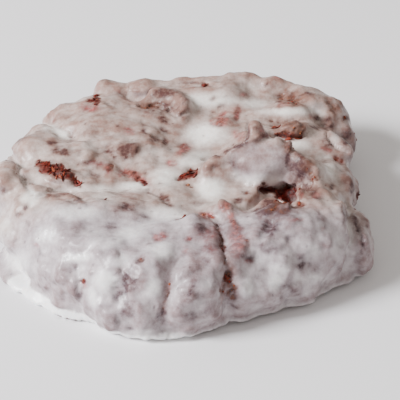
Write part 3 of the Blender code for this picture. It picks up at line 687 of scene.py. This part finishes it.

# Where the glaze gathered, where it is thin, where it is thicker, and where its sugar crystallised into
# rough white patches, which are also painted highlights: (across, down, half width, half height, turn in
# degrees, share).
POOLS = (
    (210, 100, 24, 8, 0, 0.9), (205, 135, 20, 11, 0, 1.0), (192, 160, 18, 7, -20, 0.9),
    (212, 189, 13, 11, 0, 1.0), (135, 188, 17, 5, 0, 0.9), (285, 112, 30, 3.5, 0, 0.8),
    (301, 146, 11, 4.5, 0, 0.8), (57, 133, 17, 4.5, 25, 0.9), (275, 281, 7, 9, 0, 0.8),
    (246, 288, 6, 9, 0, 0.7), (153, 288, 8, 9, 0, 0.9), (104, 280, 10, 11, 0, 0.9), (6, 232, 6, 18, 0, 0.3),
    (30, 199, 9, 7, 0, 0.9), (75, 213, 26, 7, 0, 0.7), (130, 236, 20, 8, -15, 0.7),
    (165, 215, 20, 8, 10, 0.7), (120, 262, 14, 6, -10, 0.6), (205, 285, 8, 8, 0, 0.6),
    (88, 189, 20, 4, 0, 0.6), (160, 252, 14, 8, 0, 0.6), (20, 262, 14, 12, 0, 0.6), (48, 235, 12, 9, 0, 0.4),
    (78, 258, 16, 4, -5, 0.8), (165, 178, 12, 12, 0, 0.8), (335, 135, 4, 9, -15, 0.5),
    (326, 174, 11, 11, 0, 0.45), (280, 268, 10, 6, 0, 0.6), (316, 278, 10, 6, 0, 0.5),
    (245, 178, 14, 5, 15, 0.5), (140, 333, 14, 5, 0, 0.7), (93, 297, 6, 10, 0, 0.7), (312, 250, 8, 6, 0, 0.4),
    (253, 105, 12, 5, 0, 0.5), (262, 180, 24, 6, 5, 0.45), (100, 240, 22, 9, 0, 0.25),
    (150, 226, 18, 7, 0, 0.3),
)
# Thin places, some of them painted shade: the band above the ledge, the crag's right side and the patch below
# the crag are veiled to darken them.
VEILS_AND_SHADE = (
    (115, 120, 60, 26, 0, 0.35), (300, 95, 40, 14, 10, 0.3), (250, 82, 90, 7, 0, 0.2),
    (262, 153, 30, 12, 10, 0.5), (238, 173, 15, 13, 0, 0.6), (200, 88, 16, 8, 0, 0.5),
    (211, 248, 9, 9, 0, 0.9), (200, 250, 26, 30, 0, 0.5), (190, 300, 30, 22, 0, 0.5),
    (169, 294, 7, 18, 0, 0.8), (232, 240, 20, 22, 0, 1.0), (352, 170, 7, 24, 0, 0.3),
    (300, 170, 24, 14, 30, 0.6), (362, 235, 12, 24, 0, 0.15), (300, 250, 45, 34, 0, 0.25),
    (130, 290, 20, 26, 0, 0.2), (125, 207, 24, 9, 0, 0.45), (100, 165, 24, 8, 0, 0.35),
    (95, 112, 20, 8, 0, 0.35), (330, 110, 10, 14, 0, 0.25), (230, 280, 12, 24, 0, 0.7),
    (280, 208, 20, 13, 0, 1.0), (318, 190, 16, 14, 0, 0.6), (290, 128, 20, 10, 0, 0.8),
    (35, 150, 20, 14, 0, 0.25), (90, 130, 26, 10, 0, 0.2), (190, 268, 16, 14, 0, 0.3),
    (298, 164, 16, 10, 35, 0.7), (303, 184, 12, 9, 0, 1.0), (171, 105, 14, 8, 20, 1.0),
    (128, 150, 12, 9, 0, 0.3), (49, 235, 26, 18, 0, 0.5), (48, 288, 36, 6, 24, 0.7),
)
THICKER = (
    (45, 245, 60, 40, 15, 0.62), (10, 215, 30, 40, 0, 0.45), (120, 290, 50, 40, 0, 0.5),
    (290, 250, 60, 36, 0, 0.7), (170, 215, 60, 24, 0, 0.4), (250, 290, 50, 24, -10, 0.5),
    (180, 310, 50, 24, 0, 0.3), (60, 140, 30, 20, 0, 0.2), (190, 108, 5, 10, 0, 0.7),
    (314, 111, 16, 8, 0, 0.8), (311, 128, 6, 7, 0, 0.7), (267, 173, 13, 12, 0, 1.0),
    (340, 240, 16, 30, -15, 0.9), (148, 318, 12, 14, 0, 0.8), (88, 148, 8, 7, 0, 0.6),
    (158, 149, 13, 6, 0, 0.6), (238, 87, 22, 6, 0, 0.6), (107, 196, 12, 12, 0, 1.0),
    (166, 250, 10, 10, 0, 0.9), (148, 270, 9, 12, 0, 0.9), (330, 166, 10, 7, 0, 1.0),
    (268, 180, 14, 5, 0, 1.0), (314, 228, 12, 8, 0, 0.9), (308, 290, 8, 8, 0, 0.8), (268, 290, 8, 8, 0, 0.7),
    (186, 308, 8, 7, 0, 0.6), (8, 168, 10, 10, 0, 0.8),
)
# Rough white sugar patches, which also paint the glaze's highlights white where glints show.
FROST_AND_GLINTS = (
    (49, 235, 12, 8, -15, 0.9), (76, 257, 15, 3, -8, 0.8), (116, 281, 4, 7, 0, 0.7),
    (236, 177, 4, 5, -30, 0.6), (250, 184, 6, 3, 10, 0.5), (40, 196, 5, 4, 0, 0.5),
)

glaze = bpy.data.objects.new("glaze", dough.data.copy())
glaze.data.name = "glaze"
bpy.context.scene.collection.objects.link(glaze)
hollow = dot_rows(relaxed(dough_points, links, 46) - dough_points, smooth_normals) / MM
pooled = seen.strongest(POOLS, ragged=0.7, full=0.35, end=1.5)
veiled_and_shaded = seen.strongest(VEILS_AND_SHADE, ragged=0.7, full=0.2, end=1.8)
thick = seen.strongest(THICKER, ragged=0.7, full=0.2, end=1.8)
frost_and_glints = seen.strongest(FROST_AND_GLINTS, ragged=2.2, full=0.5, end=1.3)
heading = np.degrees(np.arctan2(dough_points[:, 1], dough_points[:, 0])) % 360
ledge = ramp(z_mm, LEDGE_TOP, -LEDGE_EDGE) * ramp(heading, LEDGE_FROM, 6) * ramp(heading, LEDGE_TO, -6)
foot = ledge * ramp(heading, CHALK_FROM, 7)

# How much of the dough the glaze hides at each point.
drips = grain(dough_points, 6.0 * MM, 31, (1, 1, 0.4)) + 0.6 * grain(dough_points, 3.0 * MM, 32)
wisps = np.clip(grain(dough_points, 1.4 * MM, 41, (0.25, 1, 1)) * 1.5 - 0.2, 0, 1)
cover = COVER_ALL_OVER + HOLLOW_ADDS * np.clip(hollow * 1.3, -1, 1) + DRIPS_ADD * drips
cover += DRIFT_ADDS * grain(dough_points, 10 * MM, 35)
# Veils thin the glaze, and over the shaded places they paint shade.
cover += THICK_ADDS * thick + POOL_ADDS * pooled - VEIL_TAKES * veiled_and_shaded
cover -= CRUMBS_TAKE * crumbly + WISPS_TAKE * wisps * (1 - pooled) * (1 - 0.6 * thick)
bare = np.maximum(berry, 0.9 * rust)
cover = np.clip(cover, LEAST_COVER, 1) * (1 - 0.97 * np.clip(bare * 1.3, 0, 1))
cover = cover * (1 - STAIN_SHOWS * plum_and_shade) * (1 - STAIN_SHOWS * coral)
# Painted highlight: the glint patches are made white.
cover = np.maximum(cover, 0.92 * frost_and_glints)
flat_grain = (1, 1, 0)
lip_height = LIP_HEIGHT + 0.5 * grain(dough_points, 5.0 * MM, 33, flat_grain)
lip_height += 0.3 * grain(dough_points, 1.6 * MM, 34, flat_grain)
overhung = ramp(heading, LIP_FROM, 8) * ramp(heading, LIP_TO, -8)
lip = overhung * np.exp(-(((z_mm - lip_height) / LIP_THICKNESS) ** 2))
cover = np.maximum(cover, 0.75 * lip)
cover = np.clip(relaxed(np.where(foot > 0.5, 1.0, cover), links, 1), 0, 1)

# How far it stands off the dough. It levels itself where it is thick, most of all in the pools.
fill = np.clip(hollow, 0, 2.5) * MM * np.maximum(GLAZE_FILL * np.clip(cover * 1.4, 0, 1), 0.95 * pooled)
coat = GLAZE_COAT * (0.5 + 1.1 * cover) + GLAZE_POOL * pooled * cover
height = relaxed(np.where(bare > 0.5, GLAZE_SUNK, coat + fill), links, 2)
glaze_points = dough_points + smooth_normals * height[:, None]
smoothed = relaxed(glaze_points, links, 8)
smoothed += (relaxed(smoothed, links, 16) - smoothed) * np.clip(pooled * 1.2, 0, 1)[:, None]
ease = (np.clip(cover * 1.5 - 0.35, 0, 1) * np.clip(1 - bare * 2, 0, 1) * (1 - 0.8 * crumbly))[:, None]
glaze_points = glaze_points * (1 - ease) + smoothed * ease
over = dot_rows(glaze_points - dough_points, smooth_normals)
lifted = np.where(bare < 0.5, np.clip(GLAZE_LEAST - over, 0, 1.5 * MM), 0)
glaze_points += smooth_normals * relaxed(lifted, links, 1)[:, None]

# Its lower edge set as a thin ragged lip, which stands out over the bare underside.
under_lip = (z_mm < lip_height - 0.8) * (ledge < 0.3)
outward = smooth_normals * np.array((1, 1, 0)) + np.array((0, 0, -0.2))
outward /= np.linalg.norm(outward, axis=1)[:, None]
glaze_points += outward * (LIP_REACH * lip)[:, None]
glaze_points = np.where(under_lip[:, None], dough_points - smooth_normals * 0.3 * MM, glaze_points)
ledge_edge = ledge * np.clip(1 - smooth_normals[:, 2], 0, 1)
chipped = 0.35 * grain(dough_points, 2.6 * MM, 36, flat_grain)
chipped += 0.25 * grain(dough_points, 1.2 * MM, 37, flat_grain)
glaze_points += outward * (MM * ledge_edge * np.clip(chipped, -0.3, 0.6))[:, None]
frosting = FROST_HEIGHT * frost_and_glints * grain(dough_points, 1.1 * MM, 38, (0.7, 1, 1))
glaze_points += smooth_normals * frosting[:, None]
glaze_points[:, 2] = np.maximum(glaze_points[:, 2], 0.02 * MM)
set_points(glaze, glaze_points)
set_points(dough, dough_points - smooth_normals * (LEDGE_DEPTH * ledge * above_floor)[:, None])
set_value(glaze, "cover", cover)
# The chalky ledge, and the glint patches as painted highlight, turn chalk white.
powdery_glints = frost_and_glints * (0.5 + 0.8 * grain(dough_points, 1.1 * MM, 39, (0.7, 1, 1)))
set_value(glaze, "chalk_and_glint", np.maximum(relaxed(foot, links, 2), powdery_glints))

# How the glaze looks over the dough: white where it is thick, and a milky veil where it is thin. Pairs are
# cool and warm.
THIN_GLAZE = (0.74, 0.69, 0.75, 1), (0.75, 0.675, 0.635, 1)
DENSE_GLAZE = (0.82, 0.79, 0.775, 1), (0.83, 0.79, 0.74, 1)
CHALK_AND_GLINT_WHITE = (0.95, 0.94, 0.94, 1)
GLAZE_BUMP, GLAZE_BUMP_DEPTH = 0.6, 0.3 * MM

veiled_dough, entry = shader_group("veiled_dough", {
    "Cover": ("NodeSocketFloat", 0.8), "Warm": ("NodeSocketFloat", 0.0), "Chalk_and_glint": ("NodeSocketFloat", 0.0),
    "Under": ("NodeSocketColor", (0.4, 0.3, 0.25, 1)),
})
cloud = noise_over(veiled_dough, scale=620, detail=6, roughness=0.68)
clouding = reshape_value(veiled_dough, cloud, 0.3, 0.7, -0.14, 0.14)
clouded = combine(veiled_dough, "ADD", entry.outputs["Cover"], clouding)
opacity = reshape_value(veiled_dough, clouded, 0.05, 1.0, 0.0, 0.98)
thin, dense = (
    blend_colours(veiled_dough, entry.outputs["Warm"], *pair) for pair in (THIN_GLAZE, DENSE_GLAZE)
)
white = blend_colours(veiled_dough, opacity, thin, dense)
# Chalk white on the ledge, and painted highlight white on the glint patches.
white = blend_colours(veiled_dough, entry.outputs["Chalk_and_glint"], white, CHALK_AND_GLINT_WHITE)
veil = blend_colours(veiled_dough, opacity, entry.outputs["Under"], white)
wire(veiled_dough, "NodeGroupOutput", {"Color": veil})

sugar_glaze, tree = food_material("sugar_glaze")
glaze_colour = place_group(tree, veiled_dough, ("Cover", "Warm", "Chalk_and_glint"))
tree.links.new(place_group(tree, stained_dough, STAINS).outputs["Color"], glaze_colour.inputs["Under"])
ripple = noise_over(tree, scale=560, detail=5, roughness=0.55)
shader = finish_shader(
    tree, glaze_colour.outputs["Color"],
    ripple, GLAZE_BUMP, GLAZE_BUMP_DEPTH, reshape_value(tree, ripple, 0.3, 0.7, 0.27, 0.43),
    {
        "Subsurface Radius": (1.0, 0.75, 0.65), "Subsurface Scale": 0.6 * MM,
        "Specular IOR Level": 0.16, "Coat Roughness": 0.24,
    },
)
# A thick coat lets more light in and is glossier than a thin one.
thickness = point_value(tree, "cover")
tree.links.new(reshape_value(tree, thickness, 0.2, 0.8, 0.0, 0.2), shader.inputs["Subsurface Weight"])
tree.links.new(reshape_value(tree, thickness, 0.0, 0.8, 0.0, 0.5), shader.inputs["Coat Weight"])
glaze.data.materials.clear()
glaze.data.materials.append(sugar_glaze)
glaze.data.shade_smooth()
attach(glaze, "root")

# ------------------------------------------------------------------------------
# The fruit: strawberry that tore open as the dough was chopped and caramelised in the fat. It shows as
# curled red-brown flakes and amber crumbs that cling in the bare places of the crust.
FLAKES_PER_POINT, CRUMBS_PER_POINT = 0.20, 0.10
FLAKE_SIZE, CRUMB_SIZE = (0.5 * MM, 1.35 * MM), (0.18 * MM, 0.42 * MM)
FLAKE_FORM, CRUMB_FORM = (1.0, 0.34, 0.16), (1.0, 0.8, 0.6)  # length, width and thickness
FLAKE_TONES, CRUMB_TONES = (0.0, 0.62), (0.15, 1.0)  # 0 is darkest red, 1 is amber
CLINGS_ABOVE = 0.45  # chips cling where their stain is at least this strong
CHIP_TILT, CHIP_ROLL = 0.35, 0.22  # how far they lean off the crust, in radians
CHIP_OFFSET = (-0.05, 0.3)  # how far they stand off the crust, as a share of their size
CHIP_WAVE, CHIP_CURL = 0.25, (-0.35, 0.5)
BERRY_DARK, BERRY_RED = (0.042, 0.0030, 0.0017, 1), (0.185, 0.020, 0.0095, 1)
BERRY_AMBER, BERRY_SHADE = (0.36, 0.13, 0.05, 1), (0.05, 0.008, 0.005, 1)
FRUIT_BUMP, FRUIT_BUMP_DEPTH = 0.4, 0.15 * MM

chip_shape = bmesh.new()
bmesh.ops.create_icosphere(chip_shape, subdivisions=2, radius=1.0)
chip_points = np.array([vertex.co[:] for vertex in chip_shape.verts])
chip_faces = np.array([[vertex.index for vertex in face.verts] for face in chip_shape.faces])
chip_shape.free()

fried_fruit, tree = food_material("fried_fruit")
tone = point_value(tree, "tone")
fibre = noise_over(tree, scale=2200, detail=3, roughness=0.6)
fruit_red = blend_colours(tree, reshape_value(tree, tone, 0.0, 0.45), BERRY_DARK, BERRY_RED)
fruit_amber = blend_colours(tree, reshape_value(tree, tone, 0.45, 1.0), fruit_red, BERRY_AMBER)
fruit_tone = blend_colours(tree, reshape_value(tree, fibre, 0.4, 0.62), fruit_amber, BERRY_SHADE, "MULTIPLY")
finish_shader(
    tree, blend_colours(tree, 0.35, fruit_amber, fruit_tone),
    fibre, FRUIT_BUMP, FRUIT_BUMP_DEPTH, reshape_value(tree, fibre, 0.3, 0.7, 0.34, 0.55),
    {
        "Subsurface Weight": 0.2, "Subsurface Radius": (1.0, 0.25, 0.12), "Subsurface Scale": 0.5 * MM,
        "Specular IOR Level": 0.2,
    },
)


def scatter_chips(name, weight, per_point, sizes, form, tones, seed):
    """Chips of one kind on the points where weight is high, each bent and turned its own way."""
    draw = random.Random(seed)
    spots = [k for k in np.flatnonzero(weight > CLINGS_ABOVE) if draw.random() < per_point * weight[k]]
    points, faces, shades = [], [], []
    for k in spots:
        size = draw.uniform(*sizes)
        wave = np.sin(chip_points[:, [1, 2, 0]] * draw.uniform(2, 5) + draw.uniform(0, 6))
        bent = chip_points * (1 + CHIP_WAVE * wave) * np.array(form)
        bent[:, 2] += draw.uniform(*CHIP_CURL) * bent[:, 0] ** 2
        facing = Vector(dough_normals[k]).to_track_quat("Z", "Y").to_matrix()
        lean = Matrix.Rotation(draw.gauss(0, CHIP_TILT), 3, "X")
        tilt = lean @ Matrix.Rotation(draw.gauss(0, CHIP_ROLL), 3, "Y")
        turn = np.array(facing @ tilt @ Matrix.Rotation(draw.uniform(0, math.tau), 3, "Z"))
        place = dough_points[k] + dough_normals[k] * size * draw.uniform(*CHIP_OFFSET)
        faces.append(chip_faces + len(chip_points) * len(points))
        points.append(place + (bent * size) @ turn.T)
        shades.extend([draw.uniform(*tones)] * len(chip_points))
    data = bpy.data.meshes.new(name)
    data.from_pydata(np.concatenate(points).tolist(), [], np.concatenate(faces).tolist())
    piece = bpy.data.objects.new(name, data)
    bpy.context.scene.collection.objects.link(piece)
    set_value(piece, "tone", np.array(shades))
    data.materials.append(fried_fruit)
    data.shade_smooth()
    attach(piece, "root")


# No flakes and fewer crumbs in the hollow under the crag, so that it stays dark as painted shade.
on_berry, on_rust = berry * (1 - shaded_hollow), rust * (1 - 0.6 * shaded_hollow)
scatter_chips("fruit_flakes", on_berry, FLAKES_PER_POINT, FLAKE_SIZE, FLAKE_FORM, FLAKE_TONES, 11)
scatter_chips("fruit_crumbs", on_rust, CRUMBS_PER_POINT, CRUMB_SIZE, CRUMB_FORM, CRUMB_TONES, 12)
